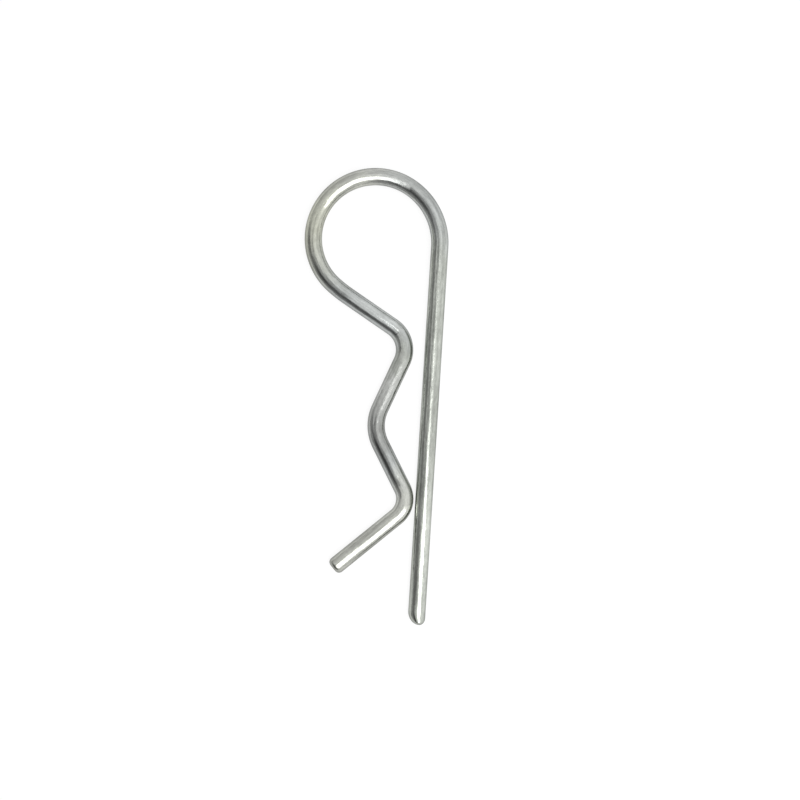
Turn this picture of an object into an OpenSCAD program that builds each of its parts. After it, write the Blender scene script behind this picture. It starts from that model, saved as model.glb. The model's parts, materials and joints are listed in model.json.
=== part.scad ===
// Hairpin cotter, or R clip: one length of round spring wire, bent cold in one plane.
//
// The straight leg goes through a cross hole in a shaft, and the waved leg springs round
// the outside of the same shaft. The clip lies flat: the middle of the wire is at z = 0,
// the straight leg runs along Y, and the loop is towards +Y. The origin is the point
// where the middle line of the straight leg crosses the axis of the held shaft.
//
// Bend radii are on the inside of the bend, and slopes are measured from the straight leg.

/* [Wire] */
// Diameter of the wire
wire_d = 3.2; // [2:0.1:5]

/* [Straight leg] */
// How far the leg reaches past the crest of the toe
leg_past_toe = 22.7; // [12:0.1:50]
// Diameter of the flat that is left at the rounded tip of the leg
tip_flat_d = 0.8; // [0.2:0.1:1.6]
// How far beyond the middle of the wire the slanted side of the tip is struck from
tip_slant = 1.3; // [0.2:0.1:3]

/* [Loop] */
// Inner diameter of the loop, where a finger pulls the clip off
loop_d = 19.6; // [14:0.1:30]
// Radius of the easier bend that leads from the leg into the loop
run_on_r = 10.7; // [8:0.1:16]
// Turn of that bend
run_on_turn = 60; // [20:1:90]
// Radius of the easier bend that leads out of the loop
run_out_r = 25; // [12:0.5:40]
// Turn of that bend
run_out_turn = 7; // [1:0.5:20]

/* [Shoulder] */
// Gap between the shoulder and the straight leg, which leads the shaft into the seat
shoulder_gap = 2.05; // [0.3:0.05:4]
// Radius of the shoulder bend
shoulder_r = 3.5; // [2:0.1:8]
// Slope of the diagonal from the loop down to the shoulder
diagonal_slope = 59; // [45:0.5:75]

/* [Seat] */
// Diameter of the shaft that the clip holds
shaft_d = 16; // [12:0.5:25]
// How much tighter than the shaft the seat is bent, so that its flanks grip
seat_pinch = 2; // [0:0.1:3.5]
// Slope of the flank between the shoulder and the seat
upper_slope = 21.5; // [16:0.5:35]
// Slope of the flank between the seat and the toe
lower_slope = 30; // [20:0.5:45]

/* [Toe and tail] */
// Gap between the toe and the straight leg
toe_gap = 0.3; // [0.1:0.05:4]
// Radius of the toe bend
toe_r = 2.7; // [2:0.1:8]
// Slope of the tail, which is kicked out to guide the shaft in
tail_slope = 47.5; // [30:0.5:70]
// Length of the straight tail
tail_len = 14.9; // [6:0.1:25]
// Rounding of the edge at the end of the tail
tail_edge_r = 0.9; // [0.1:0.05:0.95]

/* [Hidden] */

$fn = 96;
half_turn = 180;
wire_r = wire_d / 2;

// Radii of the bends along the middle of the wire
run_on_mid = run_on_r + wire_r;
loop_mid = loop_d / 2 + wire_r;
run_out_mid = run_out_r + wire_r;
shoulder_mid = shoulder_r + wire_r;
seat_mid = shaft_d / 2 - seat_pinch + wire_r;
toe_mid = toe_r + wire_r;

// How far the middle of the wire lies from the middle of the straight leg at each crest,
// where the waved leg is parallel to the straight one
shoulder_off = wire_d + shoulder_gap;
seat_off = shaft_d / 2 + wire_r;
toe_off = wire_d + toe_gap;

// A flank steps across from one crest to the next, and the bends at both crests take a
// part of that step: its straight length, and how far apart the crests are along the leg
function flank_len(across, mid_a, mid_b, slope) =
    (across - (mid_a + mid_b) * (1 - cos(slope))) / sin(slope);
function flank_rise(across, mid_a, mid_b, slope) =
    (mid_a + mid_b) * sin(slope) + flank_len(across, mid_a, mid_b, slope) * cos(slope);

upper_across = seat_off - shoulder_off;
lower_across = seat_off - toe_off;
upper_len = flank_len(upper_across, shoulder_mid, seat_mid, upper_slope);
lower_len = flank_len(lower_across, seat_mid, toe_mid, lower_slope);
shoulder_y = flank_rise(upper_across, shoulder_mid, seat_mid, upper_slope);
toe_y = -flank_rise(lower_across, seat_mid, toe_mid, lower_slope);

// The heading of the wire after each of the three bends that make the loop, counted from
// +Y to the left, and how far they carry the wire to the left and up from the leg's top
loop_turn = half_turn + diagonal_slope - run_on_turn - run_out_turn;
after_run_on = run_on_turn;
after_loop = after_run_on + loop_turn;
after_run_out = after_loop + run_out_turn;
loop_left = run_on_mid * (1 - cos(after_run_on))
    + loop_mid * (cos(after_run_on) - cos(after_loop))
    + run_out_mid * (cos(after_loop) - cos(after_run_out));
loop_up = run_on_mid * sin(after_run_on)
    + loop_mid * (sin(after_loop) - sin(after_run_on))
    + run_out_mid * (sin(after_run_out) - sin(after_loop));

// The straight diagonal comes back across to where the shoulder bend starts
diagonal_across = loop_left - shoulder_off - shoulder_mid * (1 - cos(diagonal_slope));
diagonal_len = diagonal_across / sin(diagonal_slope);
diagonal_drop = diagonal_len * cos(diagonal_slope) + shoulder_mid * sin(diagonal_slope);

leg_top_y = shoulder_y + diagonal_drop - loop_up;
leg_tip_y = toe_y - leg_past_toe;
leg_len = leg_top_y - leg_tip_y;

// The slanted side of the leg's tip is a part of a ball, which just clears the wire's
// side and would reach this far past the end of the wire
tip_ball_clear = 0.05;
tip_ball_past = 0.15;
tip_ball_r = wire_r + tip_slant + tip_ball_clear;

// The bends are drawn a hair thinner than the straights and the loop, and lap into them,
// so that each joint is a clean step inside the end of its neighbour
bend_thinning = 0.02;
joint_lap = 0.2;
bend_d = wire_d - bend_thinning;

// Each stretch of wire starts at the origin and runs along +Y. It draws itself, and then
// its children from its far end, so a chain of stretches reads as the wire is bent.
module straight(length) {
    rotate([-90, 0, 0])
        cylinder(h = length, d = wire_d);
    translate([0, length, 0])
        children();
}

// A positive turn is to the left
module bend(mid_r, turn, d = bend_d, lap = joint_lap) {
    side = sign(turn);
    lap_turn = half_turn * lap / (PI * mid_r);
    translate([-side * mid_r, 0, 0]) {
        mirror([side < 0 ? 1 : 0, 0, 0])
            rotate_extrude(angle = abs(turn) + 2 * lap_turn, start = -lap_turn)
                translate([mid_r, 0])
                    circle(d = d);
        rotate(turn)
            translate([side * mid_r, 0, 0])
                children();
    }
}

// A straight whose far end is rounded over, as a cropped and tumbled wire end is
module end_straight(length, edge_r) {
    rotate([-90, 0, 0])
        rotate_extrude() {
            square([wire_r, length - edge_r]);
            square([wire_r - edge_r, length]);
            translate([wire_r - edge_r, length - edge_r])
                intersection() {
                    circle(r = edge_r);
                    square(edge_r);
                }
        }
}

// The leg hangs down from the loop to its tip, slanted on the side of the waved leg
module leg() {
    intersection() {
        rotate(half_turn)
            end_straight(leg_len, wire_r - tip_flat_d / 2);
        translate([tip_slant, -leg_len + tip_ball_r - tip_ball_past, 0])
            rotate([-90, 0, 0]) {
                sphere(r = tip_ball_r);
                cylinder(h = leg_len, r = tip_ball_r);
            }
    }
}

module r_clip() {
    color([0.72, 0.73, 0.71])
        translate([0, leg_top_y, 0]) {
            leg();
            bend(run_on_mid, run_on_turn)
            bend(loop_mid, loop_turn, d = wire_d, lap = 0)
            bend(run_out_mid, run_out_turn)
            straight(diagonal_len)
            bend(shoulder_mid, -diagonal_slope - upper_slope)
            straight(upper_len)
            bend(seat_mid, upper_slope + lower_slope)
            straight(lower_len)
            bend(toe_mid, -lower_slope - tail_slope)
            end_straight(tail_len, tail_edge_r);
        }
}

r_clip();
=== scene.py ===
# %% [markdown]
# # A hitch clip, bent from one length of wire
#
# The object is an R clip, the spring pin that keeps a hitch pin in its place. It is one length of
# hard wire, bent cold in one plane and then zinc plated. The straight leg goes through a cross hole
# in a shaft, and the waved leg springs round the outside of that shaft.
#
# The solids of the clip are already here, at their real size. In this lesson the wire is made again
# as a smooth mesh with rounded ends, and gets its plating. Everything is in metres, in the frame of
# the solids. The new wire stays a skin of a few thousandths of a millimetre inside the old one, so
# that it never reaches past its box.

import json
import math

import bmesh
import bpy
from mathutils import Matrix, Vector


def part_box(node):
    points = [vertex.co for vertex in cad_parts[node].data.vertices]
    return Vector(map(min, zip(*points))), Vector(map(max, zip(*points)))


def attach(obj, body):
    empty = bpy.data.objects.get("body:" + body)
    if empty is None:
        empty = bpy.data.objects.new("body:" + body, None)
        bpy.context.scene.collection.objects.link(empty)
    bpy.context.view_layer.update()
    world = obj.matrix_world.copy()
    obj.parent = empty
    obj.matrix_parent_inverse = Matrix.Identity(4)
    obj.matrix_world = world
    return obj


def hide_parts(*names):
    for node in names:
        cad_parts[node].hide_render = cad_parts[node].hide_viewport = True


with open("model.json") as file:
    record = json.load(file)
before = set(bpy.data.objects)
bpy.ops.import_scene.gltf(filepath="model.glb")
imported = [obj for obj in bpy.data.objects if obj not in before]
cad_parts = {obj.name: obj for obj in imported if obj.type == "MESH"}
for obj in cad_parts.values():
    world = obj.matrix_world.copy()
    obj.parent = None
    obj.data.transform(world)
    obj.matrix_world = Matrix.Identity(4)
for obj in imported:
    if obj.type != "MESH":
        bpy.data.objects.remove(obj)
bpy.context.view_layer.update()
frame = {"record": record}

MM = 0.001
SKIN = 0.006 * MM
UP = Vector((0, 0, 1))
low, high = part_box("r_clip")
mounts = {mount["name"]: mount for mount in frame["record"]["mounts"]}
wire_r = mounts["leg"]["dims"]["r_mm"] * MM - SKIN
shaft_r = mounts["shaft_seat"]["dims"]["r_mm"] * MM
clip_size = (high - low) / MM
print(f"clip {clip_size.x:.1f} x {clip_size.y:.1f} mm, of {2 * wire_r / MM:.2f} mm wire")

# %% [markdown]
# ## The camera
#
# The clip lies flat, so a camera that looks straight down on it shows its whole shape. A long lens
# from far away keeps every part of the wire the same thickness in the picture. An orthographic
# camera would do that too, but a lens is what a real studio has. The camera is placed by what it
# should frame: a point on the floor, the width that the picture covers there, and a small turn
# about its own axis.

# %% Place the camera
def put(name, data):
    """Puts an object with this data in the scene."""
    made = bpy.data.objects.new(name, data)
    bpy.context.scene.collection.objects.link(made)
    return made


view_centre = Vector((-5.52, 4.52, 0)) * MM
view_width = 146.7 * MM
view_roll = math.radians(3.58)

camera_data = bpy.data.cameras.new("camera")
camera_data.lens = 220
camera_data.clip_start = 1 * MM
camera_data.clip_end = 20
camera = put("camera", camera_data)
camera.location = view_centre + UP * view_width * camera_data.lens / camera_data.sensor_width
camera.rotation_euler = (0, 0, view_roll)
bpy.context.scene.camera = camera
print(f"camera {camera.location.z / MM:.0f} mm above the clip")

# %% [markdown]
# ## The wire, as a bending machine makes it
#
# A bending machine does two things to a wire: it feeds it straight ahead, and it swings it round a
# die. Both moves have a bmesh operator. Extruding the open ring at the end of the wire is a feed,
# and spinning that ring about an axis is a bend. A curve with a round bevel would also give a wire,
# but its bends would only be near to arcs, and its ends could not be shaped.
#
# Every point keeps a note of where it was before the wire was bent, in an attribute called
# `unbent`: x and y across the wire, and z along it. Marks from drawing and plating follow that note
# round each bend, without a seam.

# %% Start the wire with a ring
SIDES = 96

wire = bmesh.new()
unbent = wire.verts.layers.float_vector.new("unbent")
leaning = wire.verts.layers.float_vector.new("leaning")
first_ring = bmesh.ops.create_circle(wire, segments=SIDES, radius=wire_r)["verts"]
for vert in first_ring:
    vert[unbent] = vert.co
bmesh.ops.rotate(wire, verts=first_ring, matrix=Matrix.Rotation(math.pi / 2, 3, "X"))
print(f"a ring of {SIDES} points, {2 * wire_r / MM:.2f} mm across")

# %% [markdown]
# ## How the wire leans
#
# No bent wire lies quite flat. Each bend may throw it some degrees up or down, most of all where a
# die seems to have pressed on it and its highlights break off. The mesh could lean too, but then it
# would rise out of the space that its solid keeps. So the mesh stays flat, and each ring only notes
# which way the wire runs and how far it leans. The finish turns its shading by that.
#
# The list pairs a length of wire in millimetres with a lean in degrees, and the lean changes evenly
# from one pair to the next. No lean was measured on a clip. Fitting programs found them from where
# a real clip's highlights fall, and they were then changed, thinned and rounded.

# %% Note the leans
LEANS = (
    (0, -2), (10, -2), (34, 2), (70, 3), (75, 6.5), (82, 8),
    (82.5, -4.5), (90, -6), (119, -5), (122, 1), (126, 2), (128, 4.5), (131, 4),
    (131.3, -15), (133.7, -15), (134.3, -8), (138, -6), (147, -6), (149, -3.5), (158, -3), (161, 1),
    (162, -14), (165, -14), (165.3, -6.5), (169, -6), (171, -4), (176, -4), (178, -7),
)


def lean_at(fed):
    """The lean of the wire, in radians, where this much of it has been fed."""
    for (start, lean), (end, next_lean) in zip(LEANS, LEANS[1:]):
        if start <= fed / MM < end:
            share = (fed / MM - start) / (end - start)
            return math.radians(lean + (next_lean - lean) * share)
    return math.radians(LEANS[-1][1])


def note(ring, fed, heading=0.0):
    """Notes how far along the straight wire this ring was, and how the wire leans there."""
    for vert in ring:
        vert[unbent].z = fed
        vert[leaning] = Matrix.Rotation(heading, 3, "Z") @ Vector((0, 1, 0)) * lean_at(fed)


lean_angles = [lean for _, lean in LEANS]
print(f"{len(LEANS)} leans, from {min(lean_angles)} to {max(lean_angles)} degrees")

# %% [markdown]
# ## The bender
#
# The bender keeps the open end of the wire: its ring, its middle, its heading, and how much wire
# has been fed. Both operators copy the notes of the ring that they start from, so each new ring
# gets its own. A bend is made in steps of two degrees, because a ring can only be noted once it is
# there.

# %% Build the bender
BEND_STEP = math.radians(2)


def edges_of(ring):
    """The edges that join these points into a ring, always in the same order."""
    points = set(ring)
    touching = dict.fromkeys(edge for vert in ring for edge in vert.link_edges)
    return [edge for edge in touching if set(edge.verts) <= points]


def only_verts(geom):
    """The points among what an operator gives back."""
    return [item for item in geom if isinstance(item, bmesh.types.BMVert)]


class Bender:
    """The open end of the wire, and the two moves that make it longer."""

    def __init__(self, ring, at, fed):
        self.ring, self.at, self.heading, self.fed = ring, at, 0.0, fed
        bmesh.ops.translate(wire, verts=ring, vec=at)
        note(ring, fed)

    def ahead(self):
        """The way the wire runs at its open end."""
        return Matrix.Rotation(self.heading, 3, "Z") @ Vector((0, 1, 0))

    def feed(self, length, steps=1):
        """Pushes the wire straight ahead."""
        for _ in range(steps):
            fed_out = bmesh.ops.extrude_edge_only(wire, edges=edges_of(self.ring))
            self.ring = only_verts(fed_out["geom"])
            bmesh.ops.translate(wire, verts=self.ring, vec=self.ahead() * length / steps)
            self.at += self.ahead() * length / steps
            self.fed += length / steps
            note(self.ring, self.fed, self.heading)

    def bend(self, radius, degrees):
        """Swings the wire round a die. The radius is to the wire's middle, and left is positive."""
        turn = math.radians(degrees)
        steps = math.ceil(abs(turn) / BEND_STEP)
        die = self.at + UP.cross(self.ahead()) * math.copysign(radius, turn)
        for _ in range(steps):
            swung = bmesh.ops.spin(wire, geom=self.ring + edges_of(self.ring), cent=die, axis=UP,
                                   angle=turn / steps, steps=1)
            self.ring = only_verts(swung["geom_last"])
            self.at = die + Matrix.Rotation(turn / steps, 3, "Z") @ (self.at - die)
            self.heading += turn / steps
            self.fed += radius * abs(turn) / steps
            note(self.ring, self.fed, self.heading)


# %% [markdown]
# ## The bending card
#
# The card lists the feeds and bends in the order in which the machine makes them. The leg comes
# first, then the eye, which opens a little as it runs out, then the shoulder, and then the wave
# that holds the shaft. The seat in that wave is bent tighter than the shaft, so that the clip
# grips. The same path could be a long list of points, but a radius and an angle are what a maker
# can set, check and change.
#
# Each row of the card is a stretch of the wire. A bend has the radius of the wire's middle in
# millimetres and its turn in degrees, and a straight stretch has its length and no turn.

# %% Bend the wire
tip_len = 2.56 * MM
leg_top_y = 32.958 * MM
seat_pinch = 2 * MM
seat_radius = shaft_r - seat_pinch + wire_r + SKIN
BENDING_CARD = (
    ("start of the eye", 12.3, 60),
    ("eye", 11.4, 172),
    ("end of the eye", 26.6, 7),
    ("diagonal", 9.88, 0),
    ("shoulder", 5.1, -80.5),
    ("upper flank", 9.458, 0),
    ("seat", seat_radius / MM, 51.5),
    ("lower flank", 9.011, 0),
    ("toe", 4.3, -77.5),
)

bender = Bender(first_ring, Vector((0, low.y + tip_len, 0)), tip_len)
bender.feed(leg_top_y - bender.at.y, steps=20)
print(f"the leg takes {bender.fed / MM:.1f} mm of wire")
for stretch, size, turn in BENDING_CARD:
    if turn:
        bender.bend(size * MM, turn)
    else:
        bender.feed(size * MM, steps=4)
    print(f"{stretch}: {bender.fed / MM:.1f} mm of wire, heading {math.degrees(bender.heading):.1f} degrees")

# %% [markdown]
# ## The end of the tail
#
# The wire is cropped to length and then tumbled, so its cut face keeps no sharp edge. A bevel could
# round the rim, but its new rings would not note how far along the wire they lie. So the last of
# the wire is fed in short steps while its ring shrinks. What is left is filled and inset, as a worn
# flat.

# %% Round the tail
tail_len = 14.9 * MM
tail_round = 0.9 * MM
tail_rims = (0.35 * MM, 0.35 * MM, 0.3 * MM)
ROUND_STEPS = 10

bender.feed(tail_len - tail_round, steps=6)
reach, radius = 0.0, wire_r
for step in range(1, ROUND_STEPS + 1):
    slope = math.pi / 2 * step / ROUND_STEPS
    next_reach = tail_round * math.sin(slope)
    next_radius = wire_r - tail_round * (1 - math.cos(slope))
    bender.feed(next_reach - reach)
    bmesh.ops.scale(wire, verts=bender.ring, vec=Vector((1, 1, 1)) * next_radius / radius,
                    space=Matrix.Translation(-bender.at))
    reach, radius = next_reach, next_radius
tail_face = bmesh.ops.contextual_create(wire, geom=edges_of(bender.ring))["faces"]
for rim in tail_rims:
    bmesh.ops.inset_region(wire, faces=tail_face, thickness=rim, use_even_offset=True)
bmesh.ops.poke(wire, faces=tail_face)
print(f"tail ends at ({bender.at.x / MM:.2f}, {bender.at.y / MM:.2f}) mm")

# %% [markdown]
# ## The nose of the leg
#
# The other end is pressed to a nose that finds the hole in the shaft. It has a long side towards
# the waved leg and a short side away from it. From above it narrows over its whole length, but it
# stays thick almost to the tip, so its rings are not scaled alike in width and height. Cutting it
# with slanted planes would be quicker, but a pressed nose has no flats and no edges.

# %% Press the nose
NOSE_STEPS = 18
nose_x = 0.55 * MM
right_len = 1.3 * MM
top_len = 0.5 * MM
blunt = 0.004 * MM


def rise(back, length):
    """How far a quarter of an ellipse has risen, from 0 to 1, this far back from the tip."""
    return math.sqrt(max(0.0, 1 - (1 - min(back / length, 1)) ** 2))


ring, at = first_ring, Vector((0, low.y + tip_len, 0))
half_width, half_height = wire_r, wire_r
for step in range(1, NOSE_STEPS + 1):
    back = tip_len * (1 - math.sin(math.pi / 2 * step / NOSE_STEPS)) + blunt
    left = nose_x - (nose_x + wire_r) * rise(back, tip_len)
    right = nose_x + (wire_r - nose_x) * rise(back, right_len)
    next_at = Vector(((left + right) / 2, low.y + back, 0))
    next_width, next_height = (right - left) / 2, wire_r * rise(back, top_len)
    ring = only_verts(bmesh.ops.extrude_edge_only(wire, edges=edges_of(ring))["geom"])
    bmesh.ops.translate(wire, verts=ring, vec=next_at - at)
    narrowing = (next_width / half_width, 1, next_height / half_height)
    bmesh.ops.scale(wire, verts=ring, vec=narrowing, space=Matrix.Translation(-next_at))
    note(ring, back)
    at, half_width, half_height = next_at, next_width, next_height
tip_face = bmesh.ops.contextual_create(wire, geom=edges_of(ring))["faces"]
bmesh.ops.poke(wire, faces=tip_face)
print(f"nose {tip_len / MM:.2f} mm long, its tip {nose_x / MM:.2f} mm off the leg's middle")

# %% [markdown]
# ## From bmesh to piece
#
# The normals are worked out again, because an extrusion that runs backwards, such as the nose,
# comes out inside out. Smooth shading is enough here, because every edge of the wire is round. The
# piece stands for the CAD node of the clip, so it takes over that node's place, and the node is hidden.

# %% Turn the bmesh into a piece
bmesh.ops.recalc_face_normals(wire, faces=wire.faces)
for face in wire.faces:
    face.smooth = True
open_edges = sum(not edge.is_manifold for edge in wire.edges)
volume = wire.calc_volume(signed=True) / MM ** 3
mesh = bpy.data.meshes.new("bent_wire")
wire.to_mesh(mesh)
wire.free()
clip = put("bent_wire", mesh)
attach(clip, "root")
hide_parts("r_clip")
print(f"bent_wire: {len(mesh.vertices)} points, {len(mesh.polygons)} faces, {open_edges} open edges")
print(f"{volume:.0f} mm3 of wire")

# %% [markdown]
# ## The finish: marks in the steel
#
# Bright zinc is a thin layer, so it shows what is under it. Drawing the wire through a die leaves
# fine lines along it, and the bath leaves it slightly grained, with wide and faint clouds where the
# layer is a little thicker. A picture of real wire could be wrapped round the mesh, but noise has
# no seam and stays sharp close up. All three are noise on the unbent wire, counted in waves to the
# millimetre. The die lines are stretched some ten times along the wire, and the grain only twice.

# %% Draw lines, grains and clouds
zinc = bpy.data.materials.new("bright_zinc")
zinc.use_nodes = True
zinc_tree = zinc.node_tree


def add(tree, kind, inputs, **settings):
    """Adds a node. An input that is another node's output is linked, and any other is set."""
    made = tree.nodes.new("ShaderNode" + kind)
    for name, value in settings.items():
        setattr(made, name, value)
    for name, value in inputs.items():
        if isinstance(value, bpy.types.NodeSocket):
            tree.links.new(value, made.inputs[name])
        else:
            made.inputs[name].default_value = value
    return made


unbent_place = add(zinc_tree, "Attribute", {}, attribute_name="unbent").outputs["Vector"]


def noise(across, lengthwise, detail, offset=0.0):
    """Noise with this many waves to the millimetre, across the wire and along it."""
    waves = (across / MM, across / MM, lengthwise / MM)
    place = {"Vector": unbent_place, "Location": (offset, offset, offset), "Scale": waves}
    stretched = add(zinc_tree, "Mapping", place).outputs["Vector"]
    marks = {"Vector": stretched, "Scale": 1.0, "Detail": detail, "Roughness": 0.6}
    return add(zinc_tree, "TexNoise", marks).outputs["Fac"]


def spread(value, low_end, high_end):
    """Spreads noise, which keeps near its middle, over a range."""
    ends = {"From Min": 0.3, "From Max": 0.7, "To Min": low_end, "To Max": high_end}
    return add(zinc_tree, "MapRange", {"Value": value, **ends}).outputs["Result"]


die_lines = noise(1.9, 0.18, 4)
grain = noise(2.6, 1.2, 3, offset=11)
clouds = noise(0.35, 0.2, 2, offset=23)
print("three noises on the unbent wire: die lines, grain and clouds")

# %% [markdown]
# ## The finish: its colour
#
# Zinc is a grey metal, and one grey would do for it, but it would look like chrome. Over real zinc
# lies a clear film, far thinner than the plating, and like oil on water it takes a faint colour
# from its thickness: greenish, bluish, or straw where it is thickest. The film changes slowly along
# the wire, so its colours are the stops of a ramp along it. Each stop also leaves a share of the
# light, which is partly the film's own dimming and partly painted shade: it makes some stretches
# darker than others, most of all the seat. The clouds push that ramp to and fro, so that no colour
# ends in a straight line.
#
# Tints and shares are tuned, not measured on a film: they were changed until each stretch of wire
# was, on average, about as bright and as tinted as on a real clip.

# %% Colour the zinc
wire_len = bender.fed
film_wander = 0.015
GREENISH, BLUISH = (0.960, 1, 0.920), (0.962, 1, 0.985)
CLEAR, PALE, STRAW = (0.982, 1, 0.962), (0.985, 1, 0.920), (0.985, 1, 0.850)
# Each row gives millimetres along the wire, a tint of the film, and a share of the light that is partly the
# film's own dimming and partly painted shade.
FILM_AND_PAINTED_SHADE = (
    (0, GREENISH, 0.85), (24, GREENISH, 0.95), (34, GREENISH, 0.75), (54, GREENISH, 0.90),
    (66, GREENISH, 0.85), (76, BLUISH, 0.80), (87, CLEAR, 0.75), (103, STRAW, 0.90),
    (120, BLUISH, 0.75), (130, BLUISH, 0.85), (136, GREENISH, 0.70), (141, CLEAR, 0.80),
    (149, CLEAR, 0.65), (157, BLUISH, 0.80), (166, PALE, 0.90), (178, PALE, 0.70),
)
along = add(zinc_tree, "SeparateXYZ", {"Vector": unbent_place}).outputs["Z"]
ramp_place = add(zinc_tree, "MapRange", {"Value": along, "From Max": wire_len}).outputs["Result"]
wander = spread(clouds, -film_wander, film_wander)
ramp_place = add(zinc_tree, "Math", {0: ramp_place, 1: wander}, operation="ADD").outputs[0]
film_and_shade = add(zinc_tree, "ValToRGB", {"Fac": ramp_place})
stops = film_and_shade.color_ramp.elements
while len(stops) < len(FILM_AND_PAINTED_SHADE):
    stops.new(0.5)
for stop, (millimetre, colour, share_and_painted_shade) in zip(stops, FILM_AND_PAINTED_SHADE):
    stop.position = millimetre * MM / wire_len
    stop.color = (*(share_and_painted_shade * channel for channel in colour), 1)

grey = spread(die_lines, 0.44, 0.61)
for faint_marks in (spread(grain, 0.88, 1.12), spread(clouds, 0.87, 1.13)):
    grey = add(zinc_tree, "Math", {0: grey, 1: faint_marks}, operation="MULTIPLY").outputs[0]
tinted = add(zinc_tree, "Mix", {"Factor": 1.0, 6: film_and_shade.outputs["Color"], 7: grey},
             data_type="RGBA", blend_type="MULTIPLY").outputs[2]
zinc_shader = zinc_tree.nodes["Principled BSDF"]
zinc_tree.links.new(tinted, zinc_shader.inputs["Base Color"])
print(f"film in {len(FILM_AND_PAINTED_SHADE)} stops along {wire_len / MM:.1f} mm")

# %% [markdown]
# ## The finish: its gloss and its surface
#
# Plated wire is glossy but not a mirror, and the grains scatter a little more light than what lies
# between them. The sides of a polished metal turn almost white where they are seen at a grazing
# angle. On grained plating they do not, so the shader's edge tint is set to half.
#
# The Anisotropic input could draw out every highlight alike, but die lines break them up unevenly.
# So two Bump nodes in a row raise the lines by a few hundredths of a millimetre and the grain by
# one hundredth. After them, the normal is turned by the lean that each ring has noted. The top of
# the wire turns by the full angle and its sides do not, just as they would if the wire were really
# tilted.

# %% Gloss, bumps and lean
line_height = 0.045 * MM
grain_height = 0.010 * MM
zinc_shader.inputs["Metallic"].default_value = 1.0
zinc_shader.inputs["Specular Tint"].default_value = (0.5, 0.5, 0.5, 1)
zinc_tree.links.new(spread(grain, 0.10, 0.14), zinc_shader.inputs["Roughness"])

lined = add(zinc_tree, "Bump", {"Height": die_lines, "Distance": line_height}).outputs["Normal"]
raised = add(zinc_tree, "Bump", {"Height": grain, "Distance": grain_height, "Normal": lined})
lean = add(zinc_tree, "Attribute", {}, attribute_name="leaning").outputs["Vector"]
facing = add(zinc_tree, "NewGeometry", {}).outputs["Normal"]
upward = add(zinc_tree, "SeparateXYZ", {"Vector": facing}).outputs["Z"]
tilt = add(zinc_tree, "VectorMath", {0: lean, "Scale": upward}, operation="SCALE").outputs[0]
tilted = add(zinc_tree, "VectorMath", {0: raised.outputs["Normal"], 1: tilt}, operation="ADD")
tilted = add(zinc_tree, "VectorMath", {0: tilted.outputs[0]}, operation="NORMALIZE")
zinc_tree.links.new(tilted.outputs[0], zinc_shader.inputs["Normal"])
mesh.materials.append(zinc)
print(f"{zinc.name}: {len(zinc_tree.nodes)} nodes")

# %% [markdown]
# ## The floor
#
# The clip lies on a sheet of white paper. A white floor could be lit up to white, but that needs so
# much light that the zinc burns out. So the paper is dark, with a slight gloss, and takes only the
# shadow and a dim mirror image. Its white is a glow of its own, wherever a camera ray, a reflection
# or a look through glass meets it. The wire then mirrors the same white that the camera sees.

# %% Lay the floor
floor_size = 3
paper_glow = 0.85

floor_mesh = bpy.data.meshes.new("floor")
plane = bmesh.new()
bmesh.ops.create_grid(plane, x_segments=1, y_segments=1, size=floor_size)
bmesh.ops.translate(plane, verts=plane.verts, vec=-UP * wire_r)
plane.to_mesh(floor_mesh)
plane.free()
floor = put("floor", floor_mesh)

paper = bpy.data.materials.new("white_paper")
paper.use_nodes = True
paper_tree = paper.node_tree
paper_shader = paper_tree.nodes["Principled BSDF"]
paper_shader.inputs["Base Color"].default_value = (0.07, 0.07, 0.07, 1)
paper_shader.inputs["Roughness"].default_value = 0.35
paper_shader.inputs["Specular IOR Level"].default_value = 1.0
paper_shader.inputs["Emission Strength"].default_value = 1.0
ray = add(paper_tree, "LightPath", {}).outputs
seen = ray["Is Camera Ray"]
for kind in ("Is Glossy Ray", "Is Transmission Ray"):
    seen = add(paper_tree, "Math", {0: seen, 1: ray[kind]}, operation="ADD", use_clamp=True).outputs[0]
glow = add(paper_tree, "Math", {0: seen, 1: paper_glow}, operation="MULTIPLY").outputs[0]
paper_tree.links.new(glow, paper_shader.inputs["Emission Color"])
floor_mesh.materials.append(paper)
print(f"floor at z = {-wire_r / MM:.2f} mm")

# %% [markdown]
# ## The softbox
#
# A glossy wire shows little more than what stands round it, so its light is built as in a studio.
# One wide softbox hangs low on the right. Its mirror image is the white stripe that runs along
# every part of the wire. It could be a glowing sheet of mesh, but an area light of the same size
# gives less noise. Its size and place are given for one metre of height, and its strength as the
# brightness of its cloth.

# %% Hang the softbox
softbox_height = 1.2
softbox_wide = 1.21
softbox_deep = 0.81
softbox_place = Vector((0.59, -0.5, 1))
softbox_turn = math.radians(-24)
cloth_brightness = 2.3
level = Matrix.Rotation(view_roll, 3, "Z")

softbox_data = bpy.data.lights.new("softbox", "AREA")
softbox_data.shape = "RECTANGLE"
softbox_data.size = softbox_wide * softbox_height
softbox_data.size_y = softbox_deep * softbox_height
softbox_data.energy = cloth_brightness * math.pi * softbox_data.size * softbox_data.size_y
softbox = put("softbox", softbox_data)
softbox.location = level @ softbox_place * softbox_height
softbox.rotation_euler = (0, 0, softbox_turn + view_roll)
softbox.visible_camera = False
print(f"softbox {softbox_data.size:.2f} x {softbox_data.size_y:.2f} m, {softbox_data.energy:.1f} W")
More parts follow.
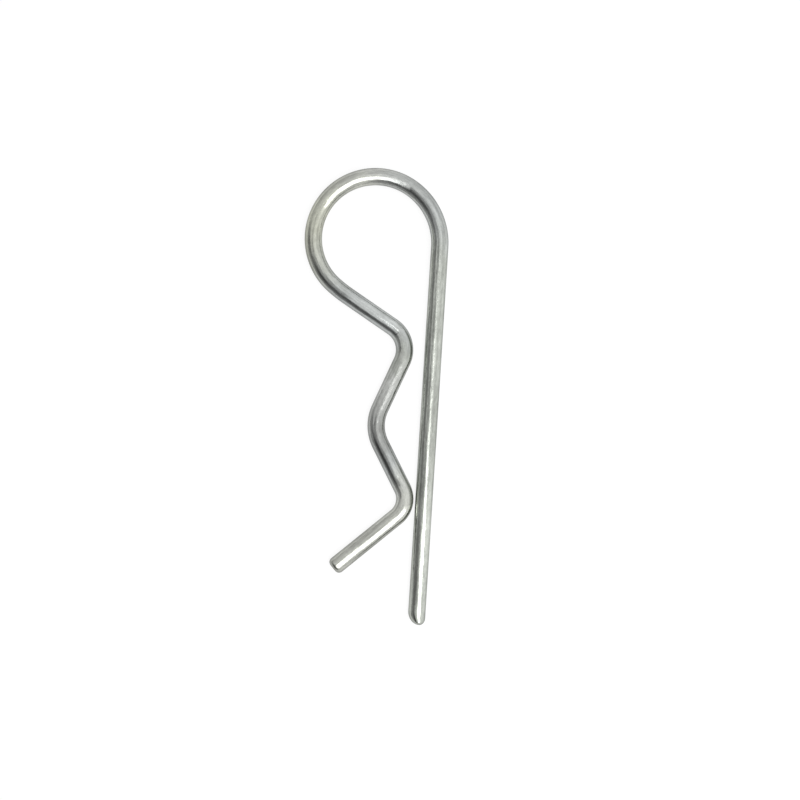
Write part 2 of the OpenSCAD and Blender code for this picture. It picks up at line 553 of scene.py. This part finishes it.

# %% [markdown]
# ## The tent
#
# All round the clip stands a tent of pale cloth, which is the world of this scene. It is brighter
# to the right and overhead. Dark cards hang in it, because without something dark to mirror, a
# metal looks like plastic: they draw the dark lines along the wire. A panorama of a real studio
# could do the same, but cards can be moved one by one.
#
# A fitting program placed the softbox and the cards and set the tent's slope. The numbers were then
# rounded, and some of the cards' strengths were changed.
#
# A card is an oval with a soft edge. Its row in the list gives its compass direction, its angle
# from straight up, its half width and half height as shares of its distance, its turn, the softness
# of its edge, and the share of the light that it takes. The sum cannot tell front from back, so
# each card has a twin across the tent, but the floor hides what lies below the horizon.

# %% Pitch the tent
tent_middle = 0.85
tent_slope = Vector((0.34, 0.08, 0.34))
CARDS = (
    (226, 51, 0.85, 0.40, 8, 0.05, 0.55),
    (190, 28, 0.52, 0.18, -118, 0.18, 0.49),
    (209, 90, 0.81, 0.39, -70, 0.05, 0.21),
    (223, 51, 0.57, 0.20, 8, 0.25, 0.50),
)

world = bpy.data.worlds.new("tent")
world.use_nodes = True
bpy.context.scene.world = world
tent = world.node_tree
direction = add(tent, "TexCoord", {}).outputs["Generated"]


def dot(vector):
    """How far each direction of the tent runs along this vector."""
    return add(tent, "VectorMath", {0: direction, 1: vector}, operation="DOT_PRODUCT").outputs["Value"]


def hang_card(compass, from_up, wide, tall, turn, edge, dark):
    """The share of the light that is left in each direction once this card hangs in the tent."""
    compass, from_up, turn = math.radians(compass), math.radians(from_up), math.radians(turn)
    outward = Vector((math.cos(compass), math.sin(compass), 0))
    across = UP.cross(outward)
    down = outward * math.cos(from_up) - UP * math.sin(from_up)
    x = dot(level @ (across * math.cos(turn) + down * math.sin(turn)) / wide)
    y = dot(level @ (down * math.cos(turn) - across * math.sin(turn)) / tall)
    off_middle = add(tent, "CombineXYZ", {"X": x, "Y": y}).outputs[0]
    distance = add(tent, "VectorMath", {0: off_middle}, operation="LENGTH").outputs["Value"]
    ends = {"From Min": 1 - edge, "From Max": 1 + edge, "To Min": 1 - dark, "To Max": 1.0}
    return add(tent, "MapRange", {"Value": distance, **ends},
               interpolation_type="SMOOTHSTEP").outputs["Result"]


light = add(tent, "Math", {0: dot(level @ tent_slope), 1: tent_middle}, operation="ADD").outputs[0]
for card in CARDS:
    light = add(tent, "Math", {0: light, 1: hang_card(*card)}, operation="MULTIPLY").outputs[0]
tent.links.new(light, tent.nodes["Background"].inputs["Strength"])
tent.nodes["Background"].inputs["Color"].default_value = (1, 1, 1, 1)
bpy.context.scene.view_settings.view_transform = "Standard"
print(f"tent with {len(CARDS)} dark cards")
